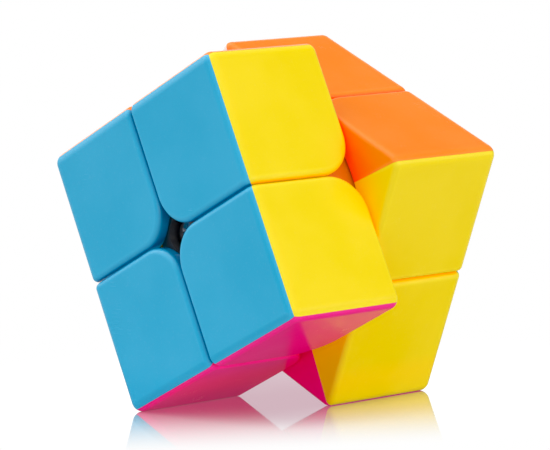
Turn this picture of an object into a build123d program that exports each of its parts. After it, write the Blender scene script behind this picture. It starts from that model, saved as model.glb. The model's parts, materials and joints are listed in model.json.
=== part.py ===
from build123d import *

import os

# Whole cube
EDGE = 50.0  # length of the closed cube's edge
TWIST = 48.5  # turn of the front layer against the rear layer
HALF = EDGE / 2
FRONT_TILT = -TWIST / 2  # about +Y
REAR_TILT = TWIST / 2  # about +Y, shared by the core and the middle slice

# Corner pieces, drawn in the octant where x, y and z are all positive
CUT_GAP = 0.15  # from the middle plane to the inner face of a corner piece
OUTER_FILLET = 2.0  # along the cube's own edges
CUT_FILLET = 1.0  # where an outer face meets an inner face
INNER_ROUND = 7.0  # along the three inner edges, which opens the star at each face's middle
PLATE = 2.0  # thickness behind an outer face
WING = 1.6  # thickness behind an inner face
SEAM = 0.01  # from each colour's edge to the mitre plane
CAVITY_R = 22.5  # spherical hollow in which the hidden ball turns
CAVITY_FILLET = 0.6  # round the mouth of that hollow
BOSS_OFFSET = 14.0  # from both inner faces to a boss's axis
BOSS_R = 2.6
BOSS_BORE_R = 1.25
BOSS_START = 17.0
BOSS_BORE_END = 21.0
PEG_R = 1.2
PEG_END = 20.0
FOOT_CLEARANCE = 0.3  # from the foot's dish to the inside of the shells
DISH_R = 24.1  # outer radius of the dish; its inner radius is the cavity's

# Hidden ball: outer layer of the mechanism above STEP_R, inner layer below it
BALL_R = 22.2
STEP_R = 17.5
INNER_R = 12.7
OUTER_CUT = 7.0  # cut planes of the outer layer, from the middle planes
INNER_CUT = 4.5  # cut planes of the inner layer
RUN = 0.15  # from a cut plane or step to each piece beside it
BALL_FILLET = 0.4  # round the outer face of each edge and centre piece
CENTRE_FLOOR = 12.5
CENTRE_POCKET_R = 3.2
CENTRE_POCKET_FLOOR = 13.9
CENTRE_BORE_R = 1.6

# Core, screws, springs and washers
CORE_R = 9.0
ARM_R = 3.8
ARM_END = 12.4
ARM_BORE_R = 1.45
ARM_BORE_START = 4.8
SOCKET_R = 2.4
SOCKET_START = 6.0
KEY_PEG_R = 2.0
KEY_PEG_START = 6.5
SHANK_R = 1.4
SHANK_START = 5.0
HEAD_R = 2.7
HEAD_START = 18.6
HEAD_END = 20.4
RECESS_LENGTH = 3.2
RECESS_WIDTH = 0.7
RECESS_DEPTH = 1.0
WASHER_R = 3.0
WASHER_TOP = 14.3
WIRE_R = 0.3
COIL_R = 2.3
COIL_TURNS = 4
COIL_CLEARANCE = 0.02  # at each end of the spring

REACH = 30.0  # beyond every piece, for blocks that are cut back to a sphere

SIDES = {
    "front": (0, -1, 0),
    "rear": (0, 1, 0),
    "left": (-1, 0, 0),
    "right": (1, 0, 0),
    "top": (0, 0, 1),
    "bottom": (0, 0, -1),
}
KEY_CORNER = ("rear", "bottom", "left")  # the corner whose peg keeps the core in line
EDGE_SIDES = [
    ("front", "top"),
    ("front", "bottom"),
    ("front", "left"),
    ("front", "right"),
    ("rear", "top"),
    ("rear", "bottom"),
    ("rear", "left"),
    ("rear", "right"),
    ("top", "left"),
    ("top", "right"),
    ("bottom", "left"),
    ("bottom", "right"),
]
SPRING_GROUPS = {
    "front_{}": ["front"],
    "rear_{}": ["rear"],
    "side_{}s": ["left", "right", "top", "bottom"],
}
COLOURS = {
    "front": "blue",
    "rear": "green",
    "left": "white",
    "right": "yellow",
    "top": "orange",
    "bottom": "pink",
}


def side_frame(along, towards):
    """Frame at the core's centre with X along one side's axis and Z along another's."""
    return Plane(origin=(0, 0, 0), x_dir=SIDES[along], z_dir=SIDES[towards]).location


def octant_frame(along, second, third):
    """Right-handed frame that carries the positive octant to the corner these sides share."""
    handed = Vector(*SIDES[along]).cross(Vector(*SIDES[second]))
    if (handed - Vector(*SIDES[third])).length < 0.5:
        return side_frame(along, third)
    return side_frame(along, second)


def tilted(tilt, frame):
    """The same frame after its layer has turned about the Y axis."""
    return Location((0, 0, 0), (0, tilt, 0)) * frame


def ball_zone(low, high, inner_r, outer_r):
    """The box from low to high, kept only between two radii."""
    size = [top - bottom for bottom, top in zip(low, high)]
    with BuildPart() as zone:
        with Locations(low):
            Box(*size, align=(Align.MIN, Align.MIN, Align.MIN))
        Sphere(outer_r, mode=Mode.INTERSECT)
        Sphere(inner_r, mode=Mode.SUBTRACT)
    return zone.part


def rounded_block(low, high, inner_round):
    """Cube from low to high on all three axes, rounded along the edges at its inner corner."""
    with BuildPart() as rounded:
        with Locations((low, low, low)):
            Box(high - low, high - low, high - low, align=(Align.MIN, Align.MIN, Align.MIN))
        inner_edges = [
            rounded.edges().filter_by(axis).sort_by_distance((low, low, low))[0]
            for axis in (Axis.X, Axis.Y, Axis.Z)
        ]
        fillet(inner_edges, radius=inner_round)
    return rounded.part


def is_outer_edge(edge):
    """Whether an edge of the corner block is one of the cube's own edges."""
    middle = sorted(edge.position_at(0.5))
    return middle[1] > HALF - 0.01


def is_cut_edge(edge):
    """Whether an edge of the corner block lies between its outer and its inner faces."""
    middle = edge.position_at(0.5)
    return max(middle) > HALF - 1 and min(middle) < INNER_ROUND / 2


def edges_at_radius(part, radius):
    """The edges of a part that lie on a sphere round the core's centre."""
    return part.edges().filter_by(lambda edge: abs(edge.position_at(0.5).length - radius) < 0.01)


def diagonal_cylinder(radius, start, end, mode):
    """Cylinder along the positive octant's diagonal, from start to end."""
    with Locations(Plane(origin=(0, 0, 0), z_dir=(1, 1, 1)).location):
        with Locations((0, 0, start)):
            Cylinder(
                radius,
                end - start,
                align=(Align.CENTER, Align.CENTER, Align.MIN),
                mode=mode,
            )


# Outside of a corner piece, all three colours together
corner_blank = rounded_block(CUT_GAP, HALF, INNER_ROUND)
with BuildPart() as corner_block:
    add(corner_blank)
    outer_edges = corner_block.edges().filter_by(is_outer_edge)
    fillet(outer_edges, radius=OUTER_FILLET)
    cut_edges = corner_block.edges().filter_by(is_cut_edge)
    fillet(cut_edges, radius=CUT_FILLET)
    Sphere(CAVITY_R, mode=Mode.SUBTRACT)
    fillet(edges_at_radius(corner_block, CAVITY_R), radius=CAVITY_FILLET)

# Hollow left inside the three shells
inside_round = INNER_ROUND - WING
hollow = rounded_block(CUT_GAP + WING, HALF - PLATE, inside_round)

# The colour that faces +X, with the inner faces up to its mitres
with BuildPart() as x_shell:
    with BuildSketch(Plane.XY):
        Polygon((SEAM, 0), (REACH + SEAM, 0), (REACH + SEAM, REACH), align=None)
    extrude(amount=REACH)
    with BuildSketch(Plane.XZ):
        Polygon((SEAM, 0), (REACH + SEAM, 0), (REACH + SEAM, REACH), align=None)
    extrude(amount=-REACH, mode=Mode.INTERSECT)
    add(corner_block.part, mode=Mode.INTERSECT)
    add(hollow, mode=Mode.SUBTRACT)
    with BuildSketch(Plane.YZ.offset(BOSS_START)):
        with Locations((BOSS_OFFSET, BOSS_OFFSET)):
            Circle(BOSS_R)
    extrude(amount=HALF - PLATE / 2 - BOSS_START)
    with BuildSketch(Plane.YZ.offset(BOSS_START)):
        with Locations((BOSS_OFFSET, BOSS_OFFSET)):
            Circle(BOSS_BORE_R)
    extrude(amount=BOSS_BORE_END - BOSS_START, mode=Mode.SUBTRACT)

# Foot: a dish that closes the shells, three pegs, a neck and the locking flange
dish_low = CUT_GAP + WING + FOOT_CLEARANCE
dish_high = HALF - PLATE - FOOT_CLEARANCE
dish_blank = rounded_block(dish_low, dish_high, inside_round - FOOT_CLEARANCE)
neck_low = OUTER_CUT + RUN
neck = ball_zone((neck_low, neck_low, neck_low), (REACH, REACH, REACH), STEP_R - 1, DISH_R - 1)
flange_low = INNER_CUT + RUN
flange = ball_zone(
    (flange_low, flange_low, flange_low), (REACH, REACH, REACH), INNER_R, STEP_R - RUN
)
with BuildPart() as corner_foot:
    add(dish_blank)
    Sphere(DISH_R, mode=Mode.INTERSECT)
    Sphere(CAVITY_R, mode=Mode.SUBTRACT)
    add(neck)
    add(flange)
    for peg_plane in (Plane.YZ, Plane.XY, Plane.ZX):
        with BuildSketch(peg_plane.offset(BOSS_OFFSET)):
            with Locations((BOSS_OFFSET, BOSS_OFFSET)):
                Circle(PEG_R)
        extrude(amount=PEG_END - BOSS_OFFSET)

# Foot of the one corner that keeps the core in line with its layer
with BuildPart() as key_foot:
    add(corner_foot.part)
    diagonal_cylinder(KEY_PEG_R, KEY_PEG_START, INNER_R + 1, Mode.ADD)

# Edge piece between +X and +Z
edge_outer = ball_zone(
    (OUTER_CUT + RUN, RUN - OUTER_CUT, OUTER_CUT + RUN),
    (REACH, OUTER_CUT - RUN, REACH),
    STEP_R + RUN,
    BALL_R,
)
edge_web = ball_zone(
    (OUTER_CUT + RUN, RUN - INNER_CUT, OUTER_CUT + RUN),
    (REACH, INNER_CUT - RUN, REACH),
    STEP_R - 1,
    STEP_R + 1,
)
edge_inner = ball_zone(
    (INNER_CUT + RUN, RUN - INNER_CUT, INNER_CUT + RUN),
    (REACH, INNER_CUT - RUN, REACH),
    INNER_R,
    STEP_R - RUN,
)
with BuildPart() as edge_piece:
    add(edge_outer)
    fillet(edges_at_radius(edge_piece, BALL_R), radius=BALL_FILLET)
    add(edge_web)
    add(edge_inner)

# Centre piece on +X
cap_half = OUTER_CUT - RUN
stem_half = INNER_CUT - RUN
centre_cap = ball_zone(
    (CENTRE_FLOOR, -cap_half, -cap_half), (REACH, cap_half, cap_half), STEP_R + RUN, BALL_R
)
with BuildPart() as centre_piece:
    with BuildSketch(Plane.YZ.offset(CENTRE_FLOOR)):
        Rectangle(2 * stem_half, 2 * stem_half)
    extrude(amount=STEP_R + RUN + 1 - CENTRE_FLOOR)
    add(centre_cap)
    fillet(edges_at_radius(centre_piece, BALL_R), radius=BALL_FILLET)
    with BuildSketch(Plane.YZ.offset(CENTRE_FLOOR)):
        Circle(CENTRE_BORE_R)
    extrude(amount=REACH - CENTRE_FLOOR, mode=Mode.SUBTRACT)
    with BuildSketch(Plane.YZ.offset(CENTRE_POCKET_FLOOR)):
        Circle(CENTRE_POCKET_R)
    extrude(amount=REACH - CENTRE_POCKET_FLOOR, mode=Mode.SUBTRACT)

# Core, with its socket in the positive octant
with BuildPart() as core_piece:
    Sphere(CORE_R)
    for arm_plane in (Plane.YZ, Plane.ZX, Plane.XY):
        with BuildSketch(arm_plane.offset(-ARM_END)):
            Circle(ARM_R)
        extrude(amount=2 * ARM_END)
    for arm_plane in (Plane.YZ, Plane.ZX, Plane.XY):
        for way in (-1, 1):
            with BuildSketch(arm_plane.offset(way * ARM_BORE_START)):
                Circle(ARM_BORE_R)
            extrude(amount=way * (ARM_END - ARM_BORE_START), mode=Mode.SUBTRACT)
    diagonal_cylinder(SOCKET_R, SOCKET_START, REACH, Mode.SUBTRACT)

# Tension screw, spring and washer on +X
with BuildPart() as screw:
    with BuildSketch(Plane.YZ.offset(SHANK_START)):
        Circle(SHANK_R)
    extrude(amount=HEAD_START - SHANK_START)
    with BuildSketch(Plane.YZ.offset(HEAD_START)):
        Circle(HEAD_R)
    extrude(amount=HEAD_END - HEAD_START)
    rim = screw.edges().filter_by(GeomType.CIRCLE).sort_by(Axis.X)[-1]
    fillet(rim, radius=0.5)
    with BuildSketch(Plane.YZ.offset(HEAD_END)):
        Rectangle(RECESS_LENGTH, RECESS_WIDTH)
        Rectangle(RECESS_WIDTH, RECESS_LENGTH)
    extrude(amount=-RECESS_DEPTH, mode=Mode.SUBTRACT)

coil_start = WASHER_TOP + WIRE_R + COIL_CLEARANCE
coil_height = HEAD_START - WIRE_R - COIL_CLEARANCE - coil_start
with BuildPart() as spring:
    with BuildLine() as coil:
        Helix(
            pitch=coil_height / COIL_TURNS,
            height=coil_height,
            radius=COIL_R,
            center=(coil_start, 0, 0),
            direction=(1, 0, 0),
        )
    with BuildSketch(Plane(origin=coil.line @ 0, z_dir=coil.line % 0)):
        Circle(WIRE_R)
    sweep(is_frenet=True)

with BuildPart() as washer:
    with BuildSketch(Plane.YZ.offset(CENTRE_POCKET_FLOOR)):
        Circle(WASHER_R)
        Circle(CENTRE_BORE_R, mode=Mode.SUBTRACT)
    extrude(amount=WASHER_TOP - CENTRE_POCKET_FLOOR)


def placed(piece, *frames):
    """A copy of a finished piece at each frame."""
    with BuildPart() as copies:
        with Locations(*frames):
            add(piece.part)
    return copies.part


def layer_tilt(*sides):
    """Turn of the layer that a piece between these sides belongs to."""
    return FRONT_TILT if "front" in sides else REAR_TILT


def centre_frame(side, tilt):
    """Frame of the piece in the middle of one side."""
    upward = "top" if side in ("front", "rear") else "front"
    return tilted(tilt, side_frame(side, upward))


def write(part, name):
    """Label a sub-part and save it under its own name."""
    part.label = name
    export_step(part, f"parts/{name}.step")


os.makedirs("parts", exist_ok=True)

for depth in ("front", "rear"):
    for height in ("top", "bottom"):
        for side in ("left", "right"):
            ring = (depth, height, side)
            corner = "_".join(ring)
            tilt = layer_tilt(depth)
            for turn in range(3):
                facing, second, third = ring[turn:] + ring[:turn]
                shell = placed(x_shell, tilted(tilt, octant_frame(facing, second, third)))
                write(shell, f"{corner}_{COLOURS[facing]}_shell")
            foot_blank = key_foot if ring == KEY_CORNER else corner_foot
            foot = placed(foot_blank, tilted(tilt, octant_frame(*ring)))
            write(foot, f"{corner}_foot")

for first, second in EDGE_SIDES:
    edge = placed(edge_piece, tilted(layer_tilt(first, second), side_frame(first, second)))
    write(edge, f"{first}_{second}_edge")

for side in SIDES:
    centre = placed(centre_piece, centre_frame(side, layer_tilt(side)))
    write(centre, f"{side}_centre")

core = placed(core_piece, tilted(REAR_TILT, octant_frame(*KEY_CORNER)))
write(core, "core")

tension_screws = placed(screw, *[centre_frame(side, REAR_TILT) for side in SIDES])
write(tension_screws, "tension_screws")

for name, sides in SPRING_GROUPS.items():
    frames = [centre_frame(side, REAR_TILT) for side in sides]
    write(placed(spring, *frames), name.format("spring"))
    write(placed(washer, *frames), name.format("washer"))
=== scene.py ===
"""Looks of the part-turned puzzle cube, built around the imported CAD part. Units are metres."""

import json
import math

import bpy
from mathutils import Matrix, Vector


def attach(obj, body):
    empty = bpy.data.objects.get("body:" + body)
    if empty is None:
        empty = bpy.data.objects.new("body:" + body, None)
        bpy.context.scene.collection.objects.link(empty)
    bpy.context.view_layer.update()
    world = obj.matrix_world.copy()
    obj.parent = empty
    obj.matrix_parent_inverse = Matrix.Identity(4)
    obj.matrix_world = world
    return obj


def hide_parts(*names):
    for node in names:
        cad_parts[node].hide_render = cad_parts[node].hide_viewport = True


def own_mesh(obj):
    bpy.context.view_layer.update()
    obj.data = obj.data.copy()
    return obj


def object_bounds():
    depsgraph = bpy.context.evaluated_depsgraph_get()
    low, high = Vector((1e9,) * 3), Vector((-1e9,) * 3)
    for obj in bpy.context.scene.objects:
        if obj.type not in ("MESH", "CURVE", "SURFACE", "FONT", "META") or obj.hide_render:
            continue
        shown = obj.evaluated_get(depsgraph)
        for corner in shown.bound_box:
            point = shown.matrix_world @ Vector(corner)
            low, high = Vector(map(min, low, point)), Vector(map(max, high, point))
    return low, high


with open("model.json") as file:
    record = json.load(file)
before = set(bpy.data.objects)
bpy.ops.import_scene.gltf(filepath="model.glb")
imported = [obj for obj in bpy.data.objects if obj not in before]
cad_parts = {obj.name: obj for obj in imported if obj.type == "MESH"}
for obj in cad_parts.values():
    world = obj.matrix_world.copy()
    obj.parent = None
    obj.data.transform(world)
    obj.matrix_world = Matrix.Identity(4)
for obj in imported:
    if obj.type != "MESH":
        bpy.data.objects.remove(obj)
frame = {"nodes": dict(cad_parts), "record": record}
cad_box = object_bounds()

MM = 0.001
FLOOR_Z = cad_box[0].z

# Camera
CAMERA_AZIMUTH = math.radians(49.2)  # from the blue side towards the yellow side
CAMERA_ELEVATION = math.radians(5.6)
CAMERA_DISTANCE = 626 * MM
CAMERA_ROLL = math.radians(-2.19)
CAMERA_AIM = Vector((-0.05 * MM, -0.055 * MM, -0.41 * MM))
CAMERA_LENS = 227.4
SENSOR_WIDTH = 36.0

# Studio: even light of the room, and lobes of (direction the light comes from, radiance,
# half-angle in degrees at which it has faded out)
ROOM_LIGHT = 0.02
LIGHT_LOBES = [
    ((-0.46, -0.53, 0.70), 1.75, 55),  # high on the camera's left
    ((-0.98, -0.14, 0.30), 0.70, 55),  # behind on the left
    ((0.00, 0.00, 1.00), 0.95, 55),  # overhead
    ((0.76, -0.65, 0.15), 0.40, 55),  # from the camera
    ((0.72, -0.62, -0.30), 0.60, 55),  # from under the camera
    ((0.98, 0.14, 0.30), 1.30, 55),  # the camera's right
    ((0.90, 0.28, -0.35), 1.65, 55),  # low on the right
    ((0.00, 0.99, 0.30), 0.35, 55),  # behind on the right
    ((-0.76, 0.65, 0.10), 1.05, 32),  # the white backdrop
]
BLACK_LEVEL = 0.010  # linear light that the picture shows as black

# Plastics: linear colour on open faces; painted shade colour deep in a corner; strength of a painted
# glow, standing in for light bounced about in such a corner, and in a narrow seam; strength of the shine
SHELL_PLASTICS = {
    "blue": ((0.011, 0.395, 0.650), (0.003, 0.160, 0.380), 0.05, 0.45, 0.42),
    "green": ((0.020, 0.480, 0.085), (0.008, 0.300, 0.040), 0.10, 0.20, 0.35),
    "white": ((0.800, 0.800, 0.790), (0.780, 0.740, 0.680), 0.15, 0.20, 0.35),
    "yellow": ((0.900, 0.690, 0.000), (1.000, 0.470, 0.000), 0.26, 0.24, 0.22),
    "orange": ((0.980, 0.240, 0.003), (1.000, 0.035, 0.000), 0.30, 0.25, 0.24),
    "pink": ((0.950, 0.006, 0.260), (0.880, 0.006, 0.085), 0.14, 0.14, 0.24),
}
SHELL_ROUGHNESS = 0.17
SHELL_TRANSLUCENCY = 0.06
CREVICE_REACH = 9 * MM  # how far away a wall still closes a corner in
SEAM_OPENING = 0.14  # openness below which a gap counts as a narrow seam
SEAM_SHADE = 0.4  # how much darker the painted shade is in a narrow seam
# Painted highlight: open rounded edges are painted lighter, as if they caught the light
EDGE_REACH = 1.2 * MM
EDGE_HIGHLIGHT = 0.5  # share of the painted highlight colour on an open edge
EDGE_GAIN = 1.3
EDGE_WHITENING = 0.08

# Plastics of the hidden mechanism: linear colour, roughness, strength of the shine
HIDDEN_PLASTICS = {
    "mechanism": ((0.840, 0.250, 0.016), 0.36, 0.30),
    "dark": ((0.085, 0.078, 0.078), 0.33, 0.35),
}
STEEL_COLOUR = (0.80, 0.80, 0.81)

# Floor: white and glossy. Its mirror image of the cube fades out towards the camera.
FLOOR_HALF = 3.0
FLOOR_WHITE = 0.88
WHITE_START = 45 * MM  # beyond this radius the floor turns into its own white glow
WHITE_END = 85 * MM
FLOOR_GLOW = 0.7  # what the cube sees of the far floor; the camera sees it as white
GLOW_NEAR = 0.35  # share of that glow right under the cube
GLOSS_DIM = 0.35  # share of the floor's light that the cube's own gloss shows
MIRROR_STRENGTH = 0.9
MIRROR_FADE = 56 * MM
PAINTED_SHADOW_REACH = 40 * MM  # the floor's painted shadow falls where the cube is nearer than this
# colour of the floor's painted shadow
PAINTED_SHADOW_COLOUR = (0.56, 0.38, 0.43)

# Painted shadow: a card behind the cube, in the colour of the shaded floor, that only the floor's mirror
# image shows
CARD_SHADOW_COLOUR = (0.66, 0.48, 0.54)
CARD_DISTANCE = 50 * MM
CARD_WIDTH = 34 * MM
CARD_HEIGHT = 16 * MM


class Graph:
    """Small helper for building a material's node tree."""

    def __init__(self, name):
        self.material = bpy.data.materials.new(name)
        self.material.use_nodes = True
        self.tree = self.material.node_tree
        self.tree.nodes.clear()
        self.output = self.tree.nodes.new("ShaderNodeOutputMaterial")

    def link(self, source, target):
        self.tree.links.new(source, target)

    def node(self, kind, settings=None, **inputs):
        """A node with its settings and inputs; an input may be a value or another node's socket."""
        made = self.tree.nodes.new(kind)
        for key, value in (settings or {}).items():
            setattr(made, key, value)
        for key, value in inputs.items():
            socket = made.inputs[key.replace("_", " ")]
            if isinstance(value, bpy.types.NodeSocket):
                self.link(value, socket)
            else:
                socket.default_value = value
        return made

    def math(self, operation, first, second=0.0, third=0.0):
        made = self.tree.nodes.new("ShaderNodeMath")
        made.operation = operation
        for socket, value in zip(made.inputs, (first, second, third)):
            if isinstance(value, bpy.types.NodeSocket):
                self.link(value, socket)
            else:
                socket.default_value = value
        return made.outputs["Value"]

    def remap(self, value, low, high, to_low, to_high, smooth=False):
        """The value moved from one range to another and kept within it."""
        made = self.node("ShaderNodeMapRange", {"clamp": True}, Value=value)
        made.interpolation_type = "SMOOTHSTEP" if smooth else "LINEAR"
        made.inputs["From Min"].default_value = low
        made.inputs["From Max"].default_value = high
        made.inputs["To Min"].default_value = to_low
        made.inputs["To Max"].default_value = to_high
        return made.outputs["Result"]

    def mix_colour(self, factor, first, second):
        """The first colour where the factor, a socket, is 0, and the second where it is 1."""
        made = self.tree.nodes.new("ShaderNodeMix")
        made.data_type = "RGBA"
        for index, value in ((0, factor), (6, first), (7, second)):
            if isinstance(value, bpy.types.NodeSocket):
                self.link(value, made.inputs[index])
            else:
                made.inputs[index].default_value = (*value, 1.0)
        return made.outputs[2]

    def mix_shaders(self, factor, first, second):
        """The first shader where the factor is 0, and the second where it is 1."""
        made = self.node("ShaderNodeMixShader", Fac=factor)
        self.link(first, made.inputs[1])
        self.link(second, made.inputs[2])
        return made.outputs["Shader"]

    def noise(self, coordinates, scale, detail=3.0, roughness=0.5):
        made = self.node(
            "ShaderNodeTexNoise", Vector=coordinates, Scale=scale, Detail=detail, Roughness=roughness
        )
        return made.outputs["Fac"]

    def piece_coordinates(self):
        """Coordinates that ride with each piece, shifted differently for every piece."""
        place = self.node("ShaderNodeTexCoord").outputs["Object"]
        chance = self.node("ShaderNodeObjectInfo").outputs["Random"]
        shift = self.node("ShaderNodeCombineXYZ", X=chance, Y=self.math("MULTIPLY", chance, 7.0))
        moved = self.node("ShaderNodeVectorMath", {"operation": "ADD"})
        self.link(place, moved.inputs[0])
        self.link(shift.outputs["Vector"], moved.inputs[1])
        return moved.outputs["Vector"], chance

    def hairlines(self, coordinates, turn, fine=2600.0, along=60.0, width=0.02):
        """Thin scratches along one direction: 1 on a scratch, 0 elsewhere."""
        turned = self.node("ShaderNodeMapping", Vector=coordinates, Rotation=turn)
        turned.inputs["Scale"].default_value = (along, fine, fine)
        streak = self.node(
            "ShaderNodeTexNoise", Vector=turned.outputs["Vector"], Scale=1.0, Detail=1.0
        )
        offset = self.math("ABSOLUTE", self.math("SUBTRACT", streak.outputs["Fac"], 0.5))
        line = self.remap(offset, 0.0, width, 1.0, 0.0)
        patch = self.remap(self.noise(coordinates, 170.0, 2.0), 0.56, 0.66, 0.0, 1.0)
        return self.math("MULTIPLY", line, patch)

    def finish(self, shader):
        """The material, with this shader as its surface."""
        self.link(shader, self.output.inputs["Surface"])
        return self.material


def lighter(colour, amount):
    """The colour moved part of the way to white."""
    return tuple(channel + (1.0 - channel) * amount for channel in colour)


def darker(colour, amount):
    """The colour moved part of the way to black."""
    return tuple(channel * (1.0 - amount) for channel in colour)


def brighter(colour, gain):
    """The colour with more light in it, short of white."""
    return tuple(min(1.0, channel * gain) for channel in colour)


def edge_mask(graph, radius):
    """1 on the rounded edges of a piece, 0 on its flats."""
    bevel = graph.node("ShaderNodeBevel", {"samples": 4}, Radius=radius)
    normal = graph.node("ShaderNodeNewGeometry").outputs["Normal"]
    alike = graph.node("ShaderNodeVectorMath", {"operation": "DOT_PRODUCT"})
    graph.link(bevel.outputs["Normal"], alike.inputs[0])
    graph.link(normal, alike.inputs[1])
    return graph.remap(alike.outputs["Value"], 0.999, 0.93, 0.0, 1.0)


def streaked(graph, place, chance, colour):
    """The moulded colour with flow streaks, fine specks and a slightly different batch for each piece."""
    flow = graph.remap(graph.noise(place, 55.0, 4.0), 0.35, 0.65, 0.0, 1.0, smooth=True)
    tint = graph.mix_colour(flow, darker(colour, 0.035), lighter(colour, 0.012))
    batch = graph.remap(chance, 0.0, 1.0, 0.0, 0.030)
    tint = graph.mix_colour(batch, tint, darker(colour, 0.5))
    speck = graph.remap(graph.noise(place, 2600.0, 1.0), 0.62, 0.72, 0.0, 0.05)
    return graph.mix_colour(speck, tint, lighter(colour, 0.25))


def moulded_skin(graph, place, gloss_roughness):
    """Roughness and normal of moulded plastic: faint orange peel, smudges and fine handling marks."""
    marks = graph.math(
        "MAXIMUM",
        graph.hairlines(place, (0.3, 0.7, 0.4)),
        graph.hairlines(place, (1.2, 0.2, 2.1)),
    )
    smudge = graph.remap(graph.noise(place, 95.0, 5.0, 0.6), 0.42, 0.68, 0.0, 1.0, smooth=True)
    roughness = graph.math("MULTIPLY_ADD", smudge, 0.07, gloss_roughness)
    roughness = graph.math("MULTIPLY_ADD", marks, 0.10, roughness)

    peel = graph.noise(place, 950.0, 2.0)
    grain = graph.noise(place, 5200.0, 2.0)
    relief = graph.math("MULTIPLY_ADD", grain, 0.12, peel)
    relief = graph.math("MULTIPLY_ADD", marks, -0.35, relief)
    bump = graph.node("ShaderNodeBump", Strength=0.35, Distance=0.008 * MM, Height=relief)
    return roughness, bump.outputs["Normal"]


def shell_plastic(name, plastic):
    """Glossy ABS with a painted highlight on its open edges, and painted shade and a painted glow in its
    corners and seams.
    """
    colour, corner_shade_colour, corner_painted_glow, seam_painted_glow, shine = plastic
    graph = Graph(name)
    place, chance = graph.piece_coordinates()
    tint = streaked(graph, place, chance, colour)

    crevice = graph.node("ShaderNodeAmbientOcclusion", {"samples": 8}, Distance=CREVICE_REACH)
    openness = crevice.outputs["AO"]
    # painted highlight on the open rounded edges, stronger where the edge is open
    exposed = graph.remap(openness, 0.25, 0.75, 0.0, EDGE_HIGHLIGHT)
    painted_edge_highlight = graph.math("MULTIPLY", edge_mask(graph, EDGE_REACH), exposed)
    tint = graph.mix_colour(painted_edge_highlight, tint, lighter(brighter(colour, EDGE_GAIN), EDGE_WHITENING))

    # painted shade and glow: a darker colour in narrow seams and a deeper colour in corners, with an
    # emission standing in for light bounced about in them; the floor also closes a piece in, but it is
    # white, so both fade out near the floor
    position = graph.node("ShaderNodeNewGeometry").outputs["Position"]
    height = graph.node("ShaderNodeSeparateXYZ", Vector=position).outputs["Z"]
    lifted = graph.remap(height, FLOOR_Z, FLOOR_Z + CREVICE_REACH, 0.0, 1.0, smooth=True)
    depth = graph.math("MULTIPLY", graph.remap(openness, 0.05, 0.85, 1.0, 0.0), lifted)
    wide = graph.remap(openness, 0.0, SEAM_OPENING, 0.0, 1.0, smooth=True)
    shaded = graph.mix_colour(wide, darker(colour, SEAM_SHADE), corner_shade_colour)
    glow = graph.math("MULTIPLY", depth, graph.remap(wide, 0.0, 1.0, seam_painted_glow, corner_painted_glow))

    roughness, normal = moulded_skin(graph, place, SHELL_ROUGHNESS)
    # the painted shade goes into the base colour, the painted glow into the emission
    surface = graph.node(
        "ShaderNodeBsdfPrincipled",
        Base_Color=graph.mix_colour(depth, tint, shaded),
        Roughness=roughness,
        IOR=1.5,
        Specular_IOR_Level=shine,
        Subsurface_Weight=SHELL_TRANSLUCENCY,
        Subsurface_Radius=(1.0, 0.7, 0.6),
        Subsurface_Scale=0.8 * MM,
        Emission_Color=shaded,
        Emission_Strength=glow,
        Normal=normal,
    )
    return graph.finish(surface.outputs["BSDF"])


def hidden_plastic(name, colour, gloss_roughness, shine):
    """Satin plastic of the mechanism."""
    graph = Graph(name)
    place, chance = graph.piece_coordinates()
    roughness, normal = moulded_skin(graph, place, gloss_roughness)
    surface = graph.node(
        "ShaderNodeBsdfPrincipled",
        Base_Color=streaked(graph, place, chance, colour),
        Roughness=roughness,
        Specular_IOR_Level=shine,
        Normal=normal,
    )
    return graph.finish(surface.outputs["BSDF"])


def plated_steel(name):
    """Zinc-plated steel: bright, with fine turning marks."""
    graph = Graph(name)
    place, chance = graph.piece_coordinates()
    cloud = graph.noise(place, 700.0, 4.0)
    tint = graph.mix_colour(cloud, darker(STEEL_COLOUR, 0.18), lighter(STEEL_COLOUR, 0.1))
    marks = graph.hairlines(place, (0.5, 0.1, 0.9), fine=9000.0, along=900.0)
    roughness = graph.math("MULTIPLY_ADD", cloud, 0.14, 0.10)
    roughness = graph.math("MULTIPLY_ADD", marks, 0.2, roughness)
    bump = graph.node("ShaderNodeBump", Strength=0.3, Distance=0.004 * MM, Height=cloud)
    surface = graph.node(
        "ShaderNodeBsdfPrincipled",
        Base_Color=tint,
        Metallic=1.0,
        Roughness=roughness,
        Normal=bump.outputs["Normal"],
    )
    return graph.finish(surface.outputs["BSDF"])


def make_slot_materials():
    """The material of every slot the CAD pieces name."""
    made = {}
    for name, plastic in SHELL_PLASTICS.items():
        made[f"{name}_plastic"] = shell_plastic(f"{name}_plastic", plastic)
    for name, plastic in HIDDEN_PLASTICS.items():
        made[f"{name}_plastic"] = hidden_plastic(f"{name}_plastic", *plastic)
    made["steel"] = plated_steel("steel")
    return made


def dress(node, material):
    """Gives a CAD node one material in place of the one it came with."""
    node.data.materials.clear()
    node.data.materials.append(material)


def compressing_spring(side):
    """A copy of one CAD spring, carried by the core in place of the CAD node, which is hidden."""
    node = frame["nodes"][f"{side}_spring"]
    bpy.context.view_layer.update()
    coil = bpy.data.objects.new(f"{side}_coil", node.data.copy())
    bpy.context.scene.collection.objects.link(coil)
    coil.matrix_world = node.matrix_world.copy()
    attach(coil, "core")
    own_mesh(coil)
    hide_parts(f"{side}_spring")


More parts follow.
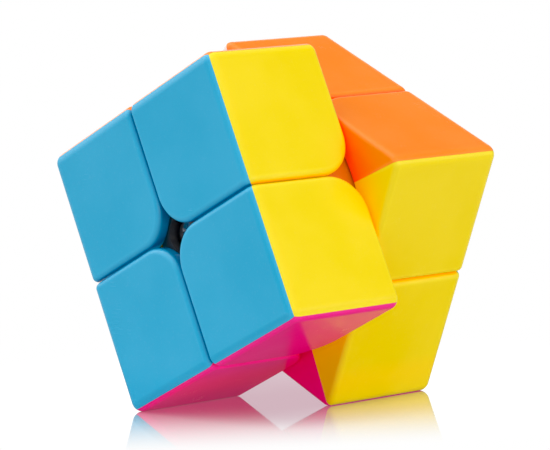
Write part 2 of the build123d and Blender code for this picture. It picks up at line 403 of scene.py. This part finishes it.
def floor_material():
    """White paper that lights the cube evenly, and shows the camera a painted shadow under the cube and a
    fading mirror image of it.
    """
    graph = Graph("white_floor")
    place = graph.node("ShaderNodeTexCoord").outputs["Object"]
    split = graph.node("ShaderNodeSeparateXYZ", Vector=place)
    flat = graph.node("ShaderNodeCombineXYZ", X=split.outputs["X"], Y=split.outputs["Y"])
    radius = graph.node("ShaderNodeVectorMath", {"operation": "LENGTH"}, Vector=flat.outputs["Vector"])
    far = graph.remap(radius.outputs["Value"], WHITE_START, WHITE_END, 0.0, 1.0, smooth=True)
    mottle = graph.noise(place, 30.0, 3.0)

    # what lights the cube: matt white that turns into an even glow, dimmer in the cube's own gloss
    glossy = graph.node("ShaderNodeLightPath").outputs["Is Glossy Ray"]
    pale = graph.mix_colour(mottle, (FLOOR_WHITE - 0.02,) * 3, (FLOOR_WHITE + 0.02,) * 3)
    pale = graph.mix_colour(glossy, pale, (FLOOR_WHITE * GLOSS_DIM,) * 3)
    matt = graph.node("ShaderNodeBsdfDiffuse", Color=pale)
    dimming = graph.math("MULTIPLY", glossy, graph.math("SUBTRACT", 1.0, far))
    strength = graph.remap(dimming, 0.0, 1.0, FLOOR_GLOW, FLOOR_GLOW * GLOSS_DIM)
    glow = graph.node("ShaderNodeEmission", Color=(1, 1, 1, 1), Strength=strength)
    glowing = graph.remap(far, 0.0, 1.0, GLOW_NEAR, 1.0)
    lighting = graph.mix_shaders(glowing, matt.outputs["BSDF"], glow.outputs["Emission"])

    # what the camera sees: pure white, with a painted shadow under the cube, and the mirror image
    open_sky = graph.node("ShaderNodeAmbientOcclusion", {"samples": 16}, Distance=PAINTED_SHADOW_REACH)
    shade = graph.remap(open_sky.outputs["AO"], 0.12, 0.60, 0.0, 1.0)
    painted_shadow_tone = graph.mix_colour(shade, PAINTED_SHADOW_COLOUR, (1.0, 1.0, 1.0))
    paper = graph.node("ShaderNodeEmission", Color=painted_shadow_tone, Strength=1.0)
    across = graph.math("MULTIPLY", split.outputs["X"], math.sin(CAMERA_AZIMUTH))
    nearer = graph.math("MULTIPLY_ADD", split.outputs["Y"], -math.cos(CAMERA_AZIMUTH), across)
    fade = graph.remap(nearer, 0.0, MIRROR_FADE, MIRROR_STRENGTH, 0.0, smooth=True)
    level = graph.math("MULTIPLY", fade, graph.math("SUBTRACT", 1.0, far))
    outward = graph.node("ShaderNodeNewGeometry")
    steep = graph.node("ShaderNodeVectorMath", {"operation": "DOT_PRODUCT"})
    graph.link(outward.outputs["Incoming"], steep.inputs[0])
    graph.link(outward.outputs["Normal"], steep.inputs[1])
    glance = graph.remap(steep.outputs["Value"], 0.13, 0.60, 1.0, 0.06)
    level = graph.math("MULTIPLY", level, glance)
    polish = graph.remap(mottle, 0.0, 1.0, 0.03, 0.06)
    mirror = graph.node("ShaderNodeBsdfAnisotropic", Color=(1, 1, 1, 1), Roughness=polish)
    shown = graph.mix_shaders(level, paper.outputs["Emission"], mirror.outputs["BSDF"])

    seen = graph.node("ShaderNodeLightPath").outputs["Is Camera Ray"]
    return graph.finish(graph.mix_shaders(seen, lighting, shown))


def make_floor():
    mesh = bpy.data.meshes.new("floor")
    half = FLOOR_HALF
    corners = [(-half, -half, 0), (half, -half, 0), (half, half, 0), (-half, half, 0)]
    mesh.from_pydata(corners, [], [(0, 1, 2, 3)])
    mesh.materials.append(floor_material())
    floor = bpy.data.objects.new("floor", mesh)
    floor.location = (0, 0, FLOOR_Z)
    bpy.context.scene.collection.objects.link(floor)


def make_arch_card():
    """The card that stands in, in the mirror image, for the shaded floor seen through the arch."""
    graph = Graph("arch_card")
    geometry = graph.node("ShaderNodeNewGeometry")
    square_on = graph.node("ShaderNodeVectorMath", {"operation": "DOT_PRODUCT"})
    graph.link(geometry.outputs["Incoming"], square_on.inputs[0])
    graph.link(geometry.outputs["Normal"], square_on.inputs[1])
    aslant = graph.remap(square_on.outputs["Value"], 0.93, 0.97, 1.0, 0.0)
    hidden = graph.math("MAXIMUM", geometry.outputs["Backfacing"], aslant)
    # the card glows in the painted shadow colour
    dim = graph.node("ShaderNodeEmission", Color=(*CARD_SHADOW_COLOUR, 1.0), Strength=1.0)
    clear = graph.node("ShaderNodeBsdfTransparent", Color=(1, 1, 1, 1))
    graph.finish(graph.mix_shaders(hidden, dim.outputs["Emission"], clear.outputs["BSDF"]))
    half = CARD_WIDTH / 2
    mesh = bpy.data.meshes.new("arch_card")
    corners = [(-half, 0, 0), (half, 0, 0), (half, 0, CARD_HEIGHT), (-half, 0, CARD_HEIGHT)]
    mesh.from_pydata(corners, [], [(0, 1, 2, 3)])
    mesh.materials.append(graph.material)
    card = bpy.data.objects.new("arch_card", mesh)
    away = Vector((-math.sin(CAMERA_AZIMUTH), math.cos(CAMERA_AZIMUTH), 0))
    card.location = away * CARD_DISTANCE + Vector((0, 0, FLOOR_Z))
    card.rotation_euler = (0, 0, CAMERA_AZIMUTH)
    card.visible_camera = False
    card.visible_diffuse = False
    card.visible_shadow = False
    bpy.context.scene.collection.objects.link(card)


def look_at(place, target, roll):
    """World matrix for a camera at place that looks at target, rolled about its line of sight."""
    turn = (target - place).to_track_quat("-Z", "Y").to_matrix().to_4x4()
    return Matrix.Translation(place) @ turn @ Matrix.Rotation(roll, 4, "Z")


def make_world():
    """Studio walls of soft light: a dim room with broad lobes of light that fade out without an edge."""
    world = bpy.data.worlds.new("studio")
    world.use_nodes = True
    tree = world.node_tree
    towards = tree.nodes.new("ShaderNodeNewGeometry").outputs["Incoming"]
    level = None
    for direction, radiance, reach in LIGHT_LOBES:
        alike = tree.nodes.new("ShaderNodeVectorMath")
        alike.operation = "DOT_PRODUCT"
        tree.links.new(towards, alike.inputs[0])
        alike.inputs[1].default_value = -Vector(direction).normalized()
        lobe = tree.nodes.new("ShaderNodeMapRange")
        lobe.interpolation_type = "SMOOTHSTEP"
        lobe.inputs["From Min"].default_value = math.cos(math.radians(reach))
        lobe.inputs["From Max"].default_value = 1.0
        lobe.inputs["To Max"].default_value = radiance
        tree.links.new(alike.outputs["Value"], lobe.inputs["Value"])
        total = tree.nodes.new("ShaderNodeMath")
        tree.links.new(lobe.outputs["Result"], total.inputs[0])
        if level is None:
            total.inputs[1].default_value = ROOM_LIGHT
        else:
            tree.links.new(level, total.inputs[1])
        level = total.outputs["Value"]
    background = tree.nodes["Background"]
    background.inputs["Color"].default_value = (1, 1, 1, 1)
    tree.links.new(level, background.inputs["Strength"])
    bpy.context.scene.world = world


def make_camera():
    """The camera as the photograph was taken."""
    data = bpy.data.cameras.new("camera")
    data.lens = CAMERA_LENS
    data.sensor_width = SENSOR_WIDTH
    data.clip_start = 0.01
    camera = bpy.data.objects.new("camera", data)
    level = CAMERA_DISTANCE * math.cos(CAMERA_ELEVATION)
    place = Vector((
        level * math.sin(CAMERA_AZIMUTH),
        -level * math.cos(CAMERA_AZIMUTH),
        CAMERA_DISTANCE * math.sin(CAMERA_ELEVATION),
    ))
    camera.matrix_world = look_at(place, CAMERA_AIM, CAMERA_ROLL)
    bpy.context.scene.collection.objects.link(camera)
    bpy.context.scene.camera = camera


slot_materials = make_slot_materials()
for entry in frame["record"]["subparts"]:
    dress(frame["nodes"][entry["node"]], slot_materials[entry["material_slot"]])

compressing_spring("front")
compressing_spring("rear")
make_floor()
make_arch_card()
make_world()
make_camera()

scene = bpy.context.scene
scene.view_settings.view_transform = "Standard"
scene.view_settings.use_curve_mapping = True
scene.view_settings.curve_mapping.black_level = (BLACK_LEVEL, BLACK_LEVEL, BLACK_LEVEL)
